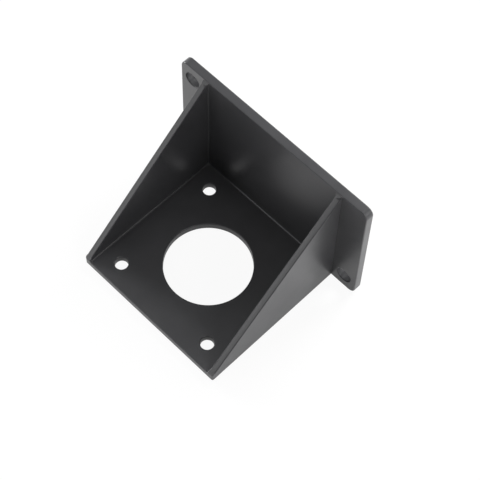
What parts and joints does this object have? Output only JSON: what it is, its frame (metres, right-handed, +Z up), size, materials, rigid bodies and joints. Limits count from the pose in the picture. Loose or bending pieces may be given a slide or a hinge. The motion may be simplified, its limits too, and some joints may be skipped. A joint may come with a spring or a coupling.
{
  "type": "motor mounting bracket",
  "caption": "Black moulded L bracket: a square motor plate with a boss opening and screw holes, a wall plate with a drilled ear on each side, and two triangular gussets.",
  "frame": {"origin": "centre of the motor's boss opening, in the plane of the motor plate's underside", "axes": "+X along the wall plate's width, +Y back from the motor plate to the wall plate, +Z up from the motor plate, along the motor's shaft"},
  "size_m": [0.0616, 0.0444, 0.039],
  "materials": {
    "moulded_black": "charcoal black glass-filled nylon, moulded, with a fine satin surface"
  },
  "bodies": {
    "root": {"bracket": "moulded_black"}
  },
  "joints": []
}
